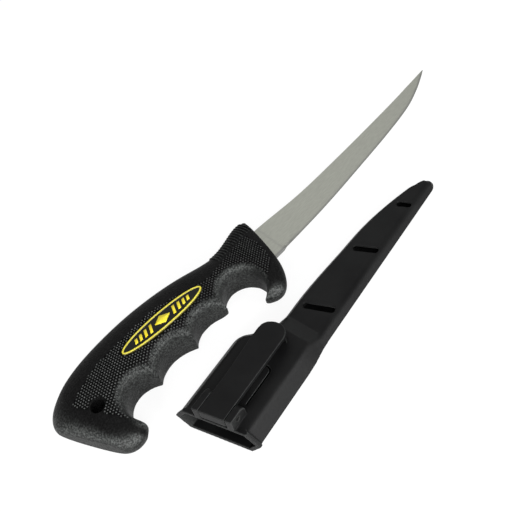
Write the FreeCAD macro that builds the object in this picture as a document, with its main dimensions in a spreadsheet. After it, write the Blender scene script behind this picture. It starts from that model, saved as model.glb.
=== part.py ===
import FreeCAD, Part
import math
import os
import Sketcher

# A fillet knife lying on its flank beside its sheath. The knife is a ground steel blade whose tang
# runs into a rigid core, with a soft grip moulded round the core and an oval badge let into the grip.
# The sheath is one hollow moulding with two cheeks that carry a sprung belt clip on a cross pin.
# Lengths are in millimetres and angles in degrees. X runs along the knife towards its point,
# Y towards the back of the blade and Z up from the table. The knife and the sheath are each built
# about their own middle plane and then laid down.

doc = FreeCAD.newDocument("fillet_knife")
sheet = doc.addObject("Spreadsheet::Sheet", "sizes")
gauge = doc.addObject("Part::Vertex", "gauge")

# Where the knife and the sheath lie, measured from the middle of the whole set.
PLACES = {
    "knife_x": -8.1,
    "knife_y": 32.7,
    "sheath_x": -95.0,
    "sheath_y": -47.0,
    "sheath_turn": 7.0,
}

BLADE = {
    "blade_thick": 2.0,
    "tip_thick": 0.7,
    "bevel_width": 1.3,
    "bevel_thick": 0.5,
    "ricasso_back": 10.0,
    "tang_end": 94.0,
    "tang_drop": 2.0,
    "tang_width": 9.0,
    "tang_hole_radius": 2.5,
    "tang_hole_step": 42.0,
    "tang_hole_inset": 14.0,
    "mould_gap": 0.05,
}

# Stations along the blade: distance from the handle, drop of the back, width down to the edge.
BLADE_STATIONS = {
    "heel": (1.0, 0.4, 20.7),
    "third": (32.0, 3.0, 17.3),
    "half_way": (65.0, 3.2, 14.8),
    "belly": (98.0, 2.6, 12.5),
    "curve": (120.0, 1.9, 10.1),
    "sweep": (135.0, 1.1, 6.6),
    "taper": (146.0, 0.5, 2.9),
    "point": (152.4, 0.2, 0.4),
}

# Oval sections of the handle: a point on the back, a point on the belly, half the thickness.
HANDLE_SECTIONS = {
    "butt_end": (-136.1, -5.2, -123.5, -35.4, 4.6),
    "butt_round": (-134.1, 1.0, -119.8, -39.0, 7.4),
    "pommel": (-127.6, 6.7, -112.5, -38.8, 9.2),
    "heel_grip": (-113.4, 12.2, -104.0, -30.6, 9.8),
    "palm": (-92.0, 14.5, -91.0, -25.2, 10.0),
    "middle": (-68.0, 13.6, -66.5, -25.5, 9.8),
    "index": (-44.0, 8.4, -44.5, -22.8, 9.2),
    "waist": (-27.0, 4.4, -34.0, -30.2, 8.9),
    "guard": (-14.5, 6.7, -26.5, -37.9, 8.6),
    "nose": (-5.0, 8.8, -18.4, -37.1, 7.6),
    "front_end": (-0.2, 7.4, -9.6, -24.5, 5.0),
}

THICKEST = "max(%s)" % "; ".join("sizes.%s_half" % section for section in HANDLE_SECTIONS)

# How many straight steps each flank of an oval section is measured in, and how full its flanks are:
# 2 is a plain ellipse, and more is flatter with rounder shoulders.
OVAL_STEPS = 12
OVAL_FULLNESS = 2.4

CORE_SECTIONS = ("heel_grip", "palm", "middle", "index", "waist")

# Finger grooves: where the middle of each round scoop stands, and its radius.
GROOVES = {
    "groove_one": (-33.7, -23.9, 10.8),
    "groove_two": (-56.0, -28.9, 12.2),
    "groove_three": (-78.1, -31.4, 14.8),
    "groove_four": (-99.8, -27.8, 10.8),
}

GRIP = {
    "grip_wall": 3.0,
    "lanyard_x": -117.5,
    "lanyard_y": -16.0,
    "lanyard_radius": 3.2,
    "badge_x": -69.8,
    "badge_y": -7.1,
    "badge_turn": -3.2,
    "badge_length": 48.2,
    "badge_width": 9.8,
    "badge_rim_width": 1.1,
    "badge_skin": 1.0,
    "rim_proud": 0.3,
}

SHEATH = {
    "sheath_wall": 1.6,
    "blade_room": 0.5,
    "side_room": 1.4,
    "tip_room": 11.6,
    "side_slope": 36.0,
    "throat_width": 39.7,
    "throat_half": 7.4,
    "throat_right_end": 43.5,
    "throat_left_end": 40.7,
    "shoulder_run": 8.5,
    "shoulder_inner_radius": 2.2,
    "neck_radius": 9.0,
    "step_run": 10.5,
    "ramp_start": 48.7,
    "ramp_run": 8.3,
    "blade_side": 1.3,
    "curve_corner": 47.0,
    "tip_width": 8.7,
    "tip_right_inner_radius": 0.3,
    "tip_left_inner_radius": 2.2,
    "tip_flat": 2.5,
    "mouth_slant": 8.3,
    "bead_proud": 0.8,
    "bead_length": 1.8,
    "slot_width": 3.2,
    "slot_slant": 16.0,
    "tongue_near": 9.0,
    "tongue_far": 30.8,
    "tongue_width": 14.4,
    "tongue_radius": 3.0,
    "tongue_slit": 0.8,
}

# Drain slots: how far along the sheath, how far across it, and the length between the end rounds.
SLOTS = {
    "slot_one": (68.9, 13.3, 12.4),
    "slot_two": (108.8, 11.6, 10.0),
    "slot_three": (141.5, 8.1, 4.0),
}

CLIP = {
    "clip_middle": 19.2,
    "clip_width": 12.0,
    "clip_thick": 2.3,
    "belt_gap": 4.4,
    "clip_reach": 42.3,
    "clip_pad": 4.5,
    "pad_gap": 0.4,
    "heel_gap": 1.2,
    "cheek_gap": 0.3,
    "cheek_width": 3.2,
    "cheek_end": 7.8,
    "cheek_radius": 3.0,
    "pin_radius": 1.0,
    "pin_along": 2.6,
    "pin_drop": 0.8,
    "pin_seat_gap": 0.02,
    "pin_run_gap": 0.06,
    "pin_inset": 0.3,
    "barrel_wall": 2.0,
}

# Sizes of the sheath that follow from others: half the blade part's height, the ends of the ramp and of
# the sheath, a start behind the mouth, a reach past everything, the blade part's left side, the
# cheeks' inner faces and the height of the pin.
LOW_HALF = "(sizes.blade_thick / 2 + sizes.side_room + sizes.sheath_wall)"
RAMP_END = "(sizes.ramp_start + sizes.ramp_run)"
TIP_END = "(sizes.point_along + sizes.tip_room)"
BEHIND = "(-sizes.throat_width / 2)"
FAR_AWAY = "(2 * sizes.throat_width)"
BLADE_LEFT = "(sizes.blade_side + sizes.heel_width + 2 * sizes.sheath_wall + sizes.blade_room)"
CHEEK_INSIDE = "(sizes.clip_width / 2 + sizes.cheek_gap)"
PIN_LEVEL = "(sizes.throat_half + sizes.belt_gap - sizes.pin_drop)"


def fill_sheet():
    """Writes every named size in its own row of the sheet."""
    named = {}
    for group in (PLACES, BLADE, GRIP, SHEATH, CLIP):
        named.update(group)
    for group, fields in (
        (BLADE_STATIONS, ("along", "drop", "width")),
        (HANDLE_SECTIONS, ("back_x", "back_y", "belly_x", "belly_y", "half")),
        (GROOVES, ("x", "y", "radius")),
        (SLOTS, ("along", "across", "length")),
    ):
        for item, values in group.items():
            for field, value in zip(fields, values):
                named[item + "_" + field] = value
    for row, (name, value) in enumerate(named.items(), start=1):
        sheet.set("A%d" % row, name)
        sheet.set("B%d" % row, str(value))
        sheet.setAlias("B%d" % row, name)
    doc.recompute()


def size(text):
    """The number that an expression on the sheet gives, read off a point that is tied to it."""
    gauge.setExpression("X", text)
    gauge.recompute()
    if not gauge.isValid():
        raise ValueError("no number from " + text)
    return gauge.X.Value


def make(kind, name, **expressions):
    """A document object whose properties are tied to expressions on the sheet."""
    item = doc.addObject(kind, name)
    for prop, text in expressions.items():
        item.setExpression(prop, text)
    return item


def place(x="0", y="0", z="0", yaw="0", roll="0"):
    """The expression of a placement, turned by roll about X and then by yaw about Z."""
    return "placement(vector(%s; %s; %s); rotation(%s; 0; %s))" % (x, y, z, yaw, roll)


def box(name, length, width, height, **where):
    return make("Part::Box", name, Length=length, Width=width, Height=height, Placement=place(**where))


def cylinder(name, radius, height, **where):
    return make("Part::Cylinder", name, Radius=radius, Height=height, Placement=place(**where))


def cut(name, base, *tools):
    """The base with each tool taken away in turn."""
    for count, tool in enumerate(tools, start=1):
        result = doc.addObject("Part::Cut", name if count == len(tools) else "%s_step_%d" % (name, count))
        result.Base = base
        result.Tool = tool
        base = result
    return base


def joined(name, *items):
    result = doc.addObject("Part::MultiFuse", name)
    result.Shapes = list(items)
    result.Refine = True
    return result


def shared(name, *items):
    result = doc.addObject("Part::MultiCommon", name)
    result.Shapes = list(items)
    return result


def loft(name, sections):
    """A smooth solid through closed sections."""
    result = doc.addObject("Part::Loft", name)
    result.Sections = sections
    result.Solid = True
    result.MaxDegree = 3
    return result


def corner_sketch(name, corners, placement):
    """A closed sketch of straight lines through corners, each a pair of expressions."""
    sketch = make("Sketcher::SketchObject", name, Placement=placement)
    spots = [FreeCAD.Vector(size(u), size(v), 0) for u, v in corners]
    count = len(spots)
    for here in range(count):
        sketch.addGeometry(Part.LineSegment(spots[here], spots[(here + 1) % count]))
    for here in range(count):
        sketch.addConstraint(Sketcher.Constraint("Coincident", here, 2, (here + 1) % count, 1))
    for here, pair in enumerate(corners):
        for kind, text, value in zip(("DistanceX", "DistanceY"), pair, spots[here]):
            index = sketch.addConstraint(Sketcher.Constraint(kind, -1, 1, here, 1, value))
            sketch.setExpression("Constraints[%d]" % index, text)
    return sketch


def rounded_wire(corners):
    """A closed wire of straight lines whose corners, each x, y and radius, are rounded by tangent arcs."""
    spots = [FreeCAD.Vector(x, y, 0) for x, y, radius in corners]
    ends = []
    for here, (x, y, radius) in enumerate(corners):
        corner = spots[here]
        back = (spots[here - 1] - corner).normalize()
        ahead = (spots[(here + 1) % len(spots)] - corner).normalize()
        half_angle = back.getAngle(ahead) / 2
        reach = radius / math.tan(half_angle)
        middle = (back + ahead).normalize() * (radius / math.sin(half_angle) - radius)
        ends.append((corner + back * reach, corner + middle, corner + ahead * reach))
    edges = []
    for here, (start, middle, end) in enumerate(ends):
        if start.distanceToPoint(end) > Part.Precision.confusion():
            edges.append(Part.Arc(start, middle, end).toShape())
        edges.append(Part.LineSegment(end, ends[(here + 1) % len(ends)][0]).toShape())
    return Part.Wire(edges)


def blade_section(name):
    """The cross-section of the ground blade at one station, a wedge with a small edge bevel."""
    along = "sizes.%s_along" % name
    back = "-sizes.%s_drop" % name
    edge = "%s - sizes.%s_width" % (back, name)
    thin = "(sizes.blade_thick - sizes.tip_thick) * %s / sizes.point_along" % along
    half = "(sizes.blade_thick - %s) / 2" % thin
    bevel = "%s + min(sizes.bevel_width; sizes.%s_width / 2)" % (edge, name)
    bevel_half = "sizes.bevel_thick / 2"
    corners = (
        (back, half),
        (bevel, bevel_half),
        (edge, "0"),
        (bevel, "-" + bevel_half),
        (back, "-" + half),
    )
    return corner_sketch(name + "_section", corners, place(x=along, yaw="90", roll="90"))


def tang_blank(name, gap):
    """The flat of the blade by the handle and the tang with its two holes, all grown by a gap."""
    thick = "sizes.blade_thick + 2 * %s" % gap
    low = "-sizes.blade_thick / 2 - %s" % gap
    flat = box(
        name + "_flat",
        "sizes.ricasso_back + sizes.heel_along + %s" % gap,
        "sizes.heel_width + 2 * %s" % gap,
        thick,
        x="-sizes.ricasso_back - %s" % gap,
        y="-sizes.heel_drop - sizes.heel_width - %s" % gap,
        z=low,
    )
    bar = box(
        name + "_bar",
        "sizes.tang_end - sizes.ricasso_back / 2 + %s" % gap,
        "sizes.tang_width + 2 * %s" % gap,
        thick,
        x="-sizes.tang_end - %s" % gap,
        y="-sizes.tang_drop - sizes.tang_width - %s" % gap,
        z=low,
    )
    holes = [
        cylinder(
            "%s_hole_%s" % (name, where),
            "sizes.tang_hole_radius - %s" % gap,
            "2 * sizes.blade_thick",
            x="sizes.tang_hole_inset - sizes.tang_end" + along,
            y="-sizes.tang_drop - sizes.tang_width / 2",
            z="-sizes.blade_thick",
        )
        for where, along in (("near", " + sizes.tang_hole_step"), ("far", ""))
    ]
    return cut(name, joined(name + "_stock", flat, bar), *holes)


def fuller(share):
    """A cosine or sine drawn out so that the oval it makes has fuller flanks."""
    return math.copysign(abs(share) ** (2 / OVAL_FULLNESS), share)


def half_oval(section, inset, side):
    """Points over one flank of an oval section, from the back to the belly, drawn in by an inset."""
    back, belly = [
        FreeCAD.Vector(size("sizes.%s_%s_x" % (section, end)), size("sizes.%s_%s_y" % (section, end)), 0)
        for end in ("back", "belly")
    ]
    middle = (back + belly) / 2
    across = (back - middle).normalize() * ((back - middle).Length - size(inset))
    up = FreeCAD.Vector(0, 0, side * (size("sizes.%s_half" % section) - size(inset)))
    turns = [math.pi * step / OVAL_STEPS for step in range(OVAL_STEPS + 1)]
    return [middle + across * fuller(math.cos(turn)) + up * fuller(math.sin(turn)) for turn in turns]


def handle_blank(name, section_names, inset):
    """The handle's smooth oval body through its sections, drawn in by an inset all round."""
    flanks = []
    for side in (1, -1):
        flank = Part.BSplineSurface()
        flank.interpolate([half_oval(section, inset, side) for section in section_names])
        flanks.append(flank)
    faces = [flank.toShape() for flank in flanks]
    for end in flanks[0].bounds()[:2]:
        faces.append(Part.Face(Part.Wire([flank.uIso(end).toShape() for flank in flanks])))
    shell = Part.Shell(faces)
    shell.sewShape()
    item = doc.addObject("Part::Feature", name)
    item.Shape = Part.Solid(shell)
    return item


def scooped(name, blank, inset):
    """The oval body with its finger grooves, which an inset makes wider."""
    scoops = [
        cylinder(
            "%s_%s" % (name, groove),
            "sizes.%s_radius + %s" % (groove, inset),
            "4 * sizes.palm_half",
            x="sizes.%s_x" % groove,
            y="sizes.%s_y" % groove,
            z="-2 * sizes.palm_half",
        )
        for groove in GROOVES
    ]
    return cut(name, blank, *scoops)


def badge_prism(name, growth, sink):
    """An upright prism with the badge's oval plan, its floor lowered by a sink."""
    plan = make(
        "Part::Ellipse",
        name + "_plan",
        MajorRadius="sizes.badge_length / 2 + %s" % growth,
        MinorRadius="sizes.badge_width / 2 + %s" % growth,
        Placement=place(
            "sizes.badge_x",
            "sizes.badge_y",
            "sizes.middle_half - sizes.grip_wall + sizes.badge_skin - %s" % sink,
            "sizes.badge_turn",
        ),
    )
    prism = make("Part::Extrusion", name, LengthFwd="2 * sizes.palm_half")
    prism.Base = plan
    prism.DirMode = "Custom"
    prism.Dir = FreeCAD.Vector(0, 0, 1)
    prism.Solid = True
    return prism


def lay_knife(node, lift="0"):
    node.setExpression(
        "Placement", place("sizes.knife_x", "sizes.knife_y", "%s + %s" % (THICKEST, lift))
    )
    return node


def make_knife():
    """The blade, the core round its tang, the grip round the core and the badge in the grip."""
    ground = loft("blade_ground", [blade_section(name) for name in BLADE_STATIONS])
    blade = joined("blade", ground, tang_blank("tang", "0"))

    core_blank = handle_blank("core_blank", CORE_SECTIONS, "sizes.grip_wall")
    core_body = scooped("core_body", core_blank, "sizes.grip_wall")
    core = cut("handle_core", core_body, tang_blank("core_slot", "sizes.mould_gap"))

    grip_blank = handle_blank("grip_blank", HANDLE_SECTIONS, "0")
    grip_body = scooped("grip_body", grip_blank, "0")
    hollow_inset = "(sizes.grip_wall - sizes.mould_gap)"
    hollow_blank = handle_blank("hollow_blank", CORE_SECTIONS, hollow_inset)
    hollow = scooped("hollow", hollow_blank, hollow_inset)
    lanyard_hole = cylinder(
        "lanyard_hole",
        "sizes.lanyard_radius",
        "4 * sizes.palm_half",
        x="sizes.lanyard_x",
        y="sizes.lanyard_y",
        z="-2 * sizes.palm_half",
    )
    pocket = badge_prism("badge_pocket", "sizes.mould_gap", "0")
    grip_slot = tang_blank("grip_slot", "sizes.mould_gap")
    front_slot = box(
        "front_slot",
        "sizes.ricasso_back",
        "sizes.heel_width + 2 * sizes.mould_gap",
        "sizes.blade_thick + 2 * sizes.mould_gap",
        y="-sizes.heel_drop - sizes.heel_width - sizes.mould_gap",
        z="-sizes.blade_thick / 2 - sizes.mould_gap",
    )
    grip = cut("grip", grip_body, hollow, grip_slot, front_slot, lanyard_hole, pocket)

    inner = "-sizes.badge_rim_width"
    plate = shared("badge_plate", badge_prism("plate_prism", inner + " - sizes.mould_gap", "0"), grip_blank)
    ring = cut(
        "badge_ring",
        badge_prism("ring_outside", "0", "sizes.rim_proud"),
        badge_prism("ring_inside", inner, "sizes.rim_proud"),
    )
    rim = shared("badge_rim", ring, grip_blank)

    lay_knife(rim, "sizes.rim_proud")
    return [lay_knife(node) for node in (blade, core, grip, plate)] + [rim]


def outline(name, corners):
    """A plan outline of the sheath at its middle plane, from corners of size expressions."""
    numbers = [(size(x), size(y), size(radius)) for x, y, radius in corners]
    item = doc.addObject("Part::Feature", name)
    item.Shape = rounded_wire(numbers)
    return item


def grown(name, source, value):
    """An outline moved outwards by a value, or inwards by a negative one."""
    result = make("Part::Offset2D", name, Value=value)
    result.Source = source
    return result


def sloped(name, source, half):
    """A solid above and below an outline whose sides all lean in by the sheath's side slope."""
    solid = make(
        "Part::Extrusion",
        name,
        LengthFwd=half,
        LengthRev=half,
        TaperAngle="-sizes.side_slope",
        TaperAngleRev="-sizes.side_slope",
    )
    solid.Base = source
    solid.DirMode = "Custom"
    solid.Dir = FreeCAD.Vector(0, 0, 1)
    solid.Solid = True
    return solid


def slab(name, start, end):
    """A block that spans the sheath from one distance along it to another."""
    return box(
        name,
        "%s - (%s)" % (end, start),
        "2 * " + FAR_AWAY,
        "2 * " + FAR_AWAY,
        x=start,
        y="sizes.throat_width / 2 - " + FAR_AWAY,
        z="-" + FAR_AWAY,
    )


def mouth_block(name, start, end):
    """A block laid square to the slanted mouth, from one distance behind its plane to another."""
    turned = place(yaw="sizes.mouth_slant") + " * " + place(start, "-" + FAR_AWAY, "-" + FAR_AWAY)
    return make(
        "Part::Box",
        name,
        Length="%s - (%s)" % (end, start),
        Width="2 * " + FAR_AWAY,
        Height="2 * " + FAR_AWAY,
        Placement=turned,
    )


def ramp_block(name, sign):
    """A block above or below the sheath whose face is the ramp from the throat to the blade part."""
    tilt = "%s * atan2(sizes.throat_half - %s; sizes.ramp_run)" % (sign, LOW_HALF)
    hinge = "vector(sizes.ramp_start; %s; %s * sizes.throat_half)" % (BEHIND, sign)
    low = "0" if sign == "1" else "-" + FAR_AWAY
    return make(
        "Part::Box",
        name,
        Length=FAR_AWAY,
        Width=FAR_AWAY,
        Height=FAR_AWAY,
        Placement="placement(%s; rotation(0; %s; 0)) * %s" % (hinge, tilt, place(z=low)),
    )


def edge_numbers(shape, wanted):
    """The numbers of the edges of a shape for which a test holds."""
    return [number for number, edge in enumerate(shape.Edges, start=1) if wanted(shape, edge)]


def upper_far_edge(shape, edge):
    """True for the edge across the top of the end that faces the sheath's tip."""
    at_far_end = edge.BoundBox.XMin > shape.BoundBox.Center.x
    at_top = edge.BoundBox.ZMin > shape.BoundBox.Center.z
    return at_far_end and at_top


def upright_edge(shape, edge):
    """True for an edge that runs straight up."""
    return edge.BoundBox.ZLength > shape.BoundBox.ZLength / 2


def rounded(name, base, radius, wanted):
    """The base with a round on the edges for which a test holds."""
    doc.recompute()
    result = doc.addObject("Part::Fillet", name)
    result.Base = base
    result.Edges = [(number, size(radius), size(radius)) for number in edge_numbers(base.Shape, wanted)]
    return result


def round_in_run(run, turn):
    """The radius that rounds a corner of some turn within a run of each of its sides."""
    return "(%s) / tan((%s) / 2)" % (run, turn)


def round_outside(inner, half):
    """The radius at the middle plane round a hollow whose own corner ends with an inner radius."""
    lean = "(%s - sizes.sheath_wall) * tan(sizes.side_slope)" % half
    return "(%s + sizes.sheath_wall + %s)" % (inner, lean)


def sheath_outlines():
    """The plan of the wide throat with its shoulders, and the plan of the narrow part for the blade."""
    past_ramp = RAMP_END + " + sizes.step_run"
    step_length = "hypot(sizes.step_run; sizes.blade_side)"
    step_round = round_in_run(step_length + " / 3", "atan2(sizes.blade_side; sizes.step_run)")
    shoulder_round = round_outside("sizes.shoulder_inner_radius", "sizes.throat_half")
    right_tip_round = round_outside("sizes.tip_right_inner_radius", LOW_HALF)
    left_tip_round = round_outside("sizes.tip_left_inner_radius", LOW_HALF)
    fall = "(%s - sizes.blade_side - sizes.tip_width)" % BLADE_LEFT
    fall_turn = "atan2(%s; sizes.curve_corner)" % fall
    tip_run = "%s * tan((90 deg - %s) / 2)" % (left_tip_round, fall_turn)
    curve_run = "hypot(sizes.curve_corner; %s) - sizes.tip_flat - %s" % (fall, tip_run)
    throat = outline(
        "throat_outline",
        (
            (BEHIND, "0", "0"),
            ("sizes.throat_right_end", "0", step_round),
            ("sizes.throat_right_end + sizes.step_run", "sizes.blade_side", step_round),
            (past_ramp, "sizes.blade_side", "0"),
            (past_ramp, BLADE_LEFT, "0"),
            ("sizes.throat_left_end + sizes.shoulder_run", BLADE_LEFT, "sizes.neck_radius"),
            ("sizes.throat_left_end", "sizes.throat_width", shoulder_round),
            (BEHIND, "sizes.throat_width", "0"),
        ),
    )
    narrow = outline(
        "blade_outline",
        (
            ("sizes.throat_right_end", "sizes.blade_side", "0"),
            (TIP_END, "sizes.blade_side", right_tip_round),
            (TIP_END, "sizes.blade_side + sizes.tip_width", left_tip_round),
            (TIP_END + " - sizes.curve_corner", BLADE_LEFT, round_in_run(curve_run, fall_turn)),
            ("sizes.throat_right_end", BLADE_LEFT, "0"),
        ),
    )
    return throat, narrow


def sheath_outside(throat_outline, blade_outline):
    """The sheath's outer form: throat, ramps, blade part and the bead round the mouth."""
    throat = cut(
        "throat",
        sloped("throat_full", throat_outline, "sizes.throat_half"),
        slab("past_ramp", RAMP_END, TIP_END + " + sizes.throat_width"),
        ramp_block("ramp_above", "1"),
        ramp_block("ramp_below", "-1"),
    )
    blade_part = cut(
        "blade_part",
        sloped("blade_part_full", blade_outline, LOW_HALF),
        slab("before_ramp", "-sizes.throat_width", RAMP_END),
    )
    bead_outline = outline(
        "bead_outline",
        (
            (BEHIND, "-sizes.bead_proud", "0"),
            ("sizes.throat_right_end", "-sizes.bead_proud", "0"),
            ("sizes.throat_right_end", "sizes.throat_width + sizes.bead_proud", "0"),
            (BEHIND, "sizes.throat_width + sizes.bead_proud", "0"),
        ),
    )
    bead = shared(
        "bead",
        sloped("bead_full", bead_outline, "sizes.throat_half"),
        mouth_block("bead_block", "0", "sizes.bead_length"),
    )
    return joined("sheath_outside", throat, blade_part, bead, *clip_cheeks())


def clip_cheeks():
    """Two blocks on the throat that hold the clip's pin, rounded at their far upper edges."""
    cheeks = []
    for side, low in (
        ("right", "sizes.clip_middle - %s - sizes.cheek_width" % CHEEK_INSIDE),
        ("left", "sizes.clip_middle + " + CHEEK_INSIDE),
    ):
        block = box(
            "cheek_block_" + side,
            "sizes.cheek_end - %s" % BEHIND,
            "sizes.cheek_width",
            "sizes.belt_gap + sizes.clip_thick + sizes.sheath_wall / 2",
            x=BEHIND,
            y=low,
            z="sizes.throat_half - sizes.sheath_wall / 2",
        )
        cheeks.append(rounded("cheek_" + side, block, "sizes.cheek_radius", upper_far_edge))
    return cheeks


def sheath_hollow(throat_outline, blade_outline):
    """The space inside the sheath: a wide throat that narrows to the blade's own space."""
    throat = cut(
        "throat_hollow",
        sloped(
            "throat_hollow_full",
            grown("throat_inside", throat_outline, "-sizes.sheath_wall"),
            "sizes.throat_half - sizes.sheath_wall",
        ),
        slab("past_throat", "sizes.ramp_start", TIP_END + " + sizes.throat_width"),
    )
    narrow = sloped(
        "blade_hollow",
        grown("blade_inside", blade_outline, "-sizes.sheath_wall"),
        LOW_HALF + " - sizes.sheath_wall",
    )
    return throat, narrow


def drain_slot(name):
    """One round-ended slot right through the blade part, slanted across it."""
    along = "sizes.%s_along" % name
    across = "sizes.%s_across" % name
    length = "sizes.%s_length" % name
    turn = "90 + sizes.slot_slant"
    low = "-sizes.throat_half"
    height = "2 * sizes.throat_half"
    step_x = "%s / 2 * cos(%s)" % (length, turn)
    step_y = "%s / 2 * sin(%s)" % (length, turn)
    side_x = "sizes.slot_width / 2 * sin(%s)" % turn
    side_y = "sizes.slot_width / 2 * cos(%s)" % turn
    middle = box(
        name + "_middle",
        length,
        "sizes.slot_width",
        height,
        x="%s - %s + %s" % (along, step_x, side_x),
        y="%s - %s - %s" % (across, step_y, side_y),
        z=low,
        yaw=turn,
    )
    ends = [
        cylinder(
            "%s_%s" % (name, end),
            "sizes.slot_width / 2",
            height,
            x="%s %s %s" % (along, sign, step_x),
            y="%s %s %s" % (across, sign, step_y),
            z=low,
        )
        for end, sign in (("near", "-"), ("far", "+"))
    ]
    return joined(name, middle, *ends)


def cross_place(half_length):
    """Where a bar of some half length lies across the sheath on the clip pin's axis."""
    return place("sizes.pin_along", "sizes.clip_middle + " + half_length, PIN_LEVEL, roll="90")


def cross_bar(name, radius, half_length):
    """A round bar across the sheath on the clip pin's axis."""
    height = "2 * (%s)" % half_length
    return make("Part::Cylinder", name, Radius=radius, Height=height, Placement=cross_place(half_length))


def lay_sheath(node, within=place()):
    """Lays a piece of the sheath on the table, from its place within the sheath."""
    laid = place("sizes.sheath_x", "sizes.sheath_y", "sizes.throat_half", "sizes.sheath_turn")
    node.setExpression("Placement", laid + " * " + within)
    return node


def tongue_block(name, slit):
    """A round-cornered block over the sprung tongue, drawn in from its free edges by a slit."""
    block = box(
        name + "_block",
        "sizes.tongue_far - sizes.tongue_near",
        "sizes.tongue_width - 2 * %s" % slit,
        "sizes.throat_half",
        x="sizes.tongue_near - %s" % slit,
        y="sizes.clip_middle - sizes.tongue_width / 2 + %s" % slit,
        z="sizes.throat_half / 2",
    )
    return rounded(name, block, "sizes.tongue_radius - %s" % slit, upright_edge)


def tongue_slit():
    """The slit that frees a tongue of the throat's upper wall on three sides."""
    return cut("tongue_slit", tongue_block("slit_outside", "0"), tongue_block("slit_inside", "sizes.tongue_slit"))


def make_sheath():
    """The hollow sheath with its drain slots, sprung tongue and pin holes, and the pin."""
    throat_outline, blade_outline = sheath_outlines()
    outside = sheath_outside(throat_outline, blade_outline)
    body = cut(
        "sheath_body",
        outside,
        *sheath_hollow(throat_outline, blade_outline),
        mouth_block("before_mouth", "-" + FAR_AWAY, "0"),
        *[drain_slot(name) for name in SLOTS],
        tongue_slit(),
        cross_bar("pin_holes", "sizes.pin_radius + sizes.pin_seat_gap", FAR_AWAY),
    )
    pin_half = CHEEK_INSIDE + " + sizes.cheek_width - sizes.pin_inset"
    pin = cross_bar("clip_pin", "sizes.pin_radius", pin_half)
    return [lay_sheath(body), lay_sheath(pin, cross_place(pin_half))]


def make_clip():
    """The belt clip: a strap with a round end, a pad under the end, a barrel round the pin and a heel."""
    half = "sizes.clip_width / 2"
    under = "(sizes.throat_half + sizes.belt_gap)"
    strap = box(
        "clip_strap",
        "sizes.clip_reach - %s" % BEHIND,
        "sizes.clip_width",
        "sizes.clip_thick",
        x=BEHIND,
        y="sizes.clip_middle - " + half,
        z=under,
    )
    end = cylinder(
        "clip_end", half, "sizes.clip_thick", x="sizes.clip_reach", y="sizes.clip_middle", z=under
    )
    pad_drop = "(sizes.belt_gap - sizes.pad_gap)"
    pad = shared(
        "clip_pad_shape",
        cylinder(
            "clip_pad_round",
            half,
            "%s + sizes.clip_thick / 2" % pad_drop,
            x="sizes.clip_reach",
            y="sizes.clip_middle",
            z="%s - %s" % (under, pad_drop),
        ),
        slab("clip_pad_block", "sizes.clip_reach + %s - sizes.clip_pad" % half, TIP_END),
    )
    barrel = cross_bar("clip_barrel", "sizes.pin_radius + sizes.pin_run_gap + sizes.barrel_wall", half)
    heel = box(
        "clip_heel",
        "sizes.pin_along - %s" % BEHIND,
        "sizes.clip_width",
        "sizes.belt_gap - sizes.heel_gap + sizes.clip_thick / 2",
        x=BEHIND,
        y="sizes.clip_middle - " + half,
        z="sizes.throat_half + sizes.heel_gap",
    )
    clip = cut(
        "belt_clip",
        joined("clip_solid", strap, end, pad, barrel, heel),
        mouth_block("clip_mouth", "-" + FAR_AWAY, "0"),
        cross_bar("clip_bore", "sizes.pin_radius + sizes.pin_run_gap", FAR_AWAY),
    )
    return lay_sheath(clip)


def check(nodes):
    """Stops if any object failed or any sub-part is not one sound solid."""
    for item in doc.Objects:
        if "Invalid" in item.State or "Error" in item.State:
            raise RuntimeError("%s failed: %s" % (item.Label, item.State))
    for node in nodes:
        if node.Shape.isNull() or not node.Shape.isValid() or len(node.Shape.Solids) != 1:
            raise RuntimeError("%s is not one sound solid" % node.Label)


def export(nodes):
    os.makedirs("parts", exist_ok=True)
    for node in nodes:
        node.Shape.exportStep("parts/%s.step" % node.Label)
        limits = node.Shape.optimalBoundingBox(True, False)
        print("%-12s %9.1f mm3" % (node.Label, node.Shape.Volume), limits)


fill_sheet()
nodes = make_knife() + make_sheath() + [make_clip()]
doc.recompute()
check(nodes)
export(nodes)
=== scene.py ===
import math

import bmesh
import bpy
from mathutils import Matrix, Vector
from mathutils.bvhtree import BVHTree
from mathutils.kdtree import KDTree


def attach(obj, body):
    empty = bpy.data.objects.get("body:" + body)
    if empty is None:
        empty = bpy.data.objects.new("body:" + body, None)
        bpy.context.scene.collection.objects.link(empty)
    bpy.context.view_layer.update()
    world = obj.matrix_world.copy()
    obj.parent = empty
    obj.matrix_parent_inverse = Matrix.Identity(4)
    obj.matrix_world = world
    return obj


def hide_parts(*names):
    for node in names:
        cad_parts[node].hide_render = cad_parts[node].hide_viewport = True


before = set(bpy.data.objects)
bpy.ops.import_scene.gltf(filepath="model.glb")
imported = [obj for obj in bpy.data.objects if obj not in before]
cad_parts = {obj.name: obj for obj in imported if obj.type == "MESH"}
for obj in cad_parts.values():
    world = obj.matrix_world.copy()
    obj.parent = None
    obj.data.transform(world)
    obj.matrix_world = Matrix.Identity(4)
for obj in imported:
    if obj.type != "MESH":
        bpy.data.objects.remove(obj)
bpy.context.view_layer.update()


# The blade is one strip of stainless steel, ground to a thin wedge from just past the handle
# out to the point, with a small bevel along the edge, and satin polished along its length.
mm = 0.001
knife_origin = Vector((-8.1, 32.7, 10.0)) * mm
blade_stations = [
    (-9.0, 0.4, 20.7), (1.0, 0.4, 20.7), (32.0, 3.0, 17.3), (65.0, 3.2, 14.8), (98.0, 2.6, 12.5),
    (120.0, 1.9, 10.1), (135.0, 1.1, 6.6), (146.0, 0.5, 2.9), (152.4, 0.2, 0.3),
]
blade_thick = 2.0
tip_thick = 0.7
bevel_width = 1.3
bevel_thick = 0.5
edge_half = 0.02
heel_flat = 0.1
spine_round = 0.22
grind_at_back = 1.4
grind_at_edge = -1.6
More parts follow.
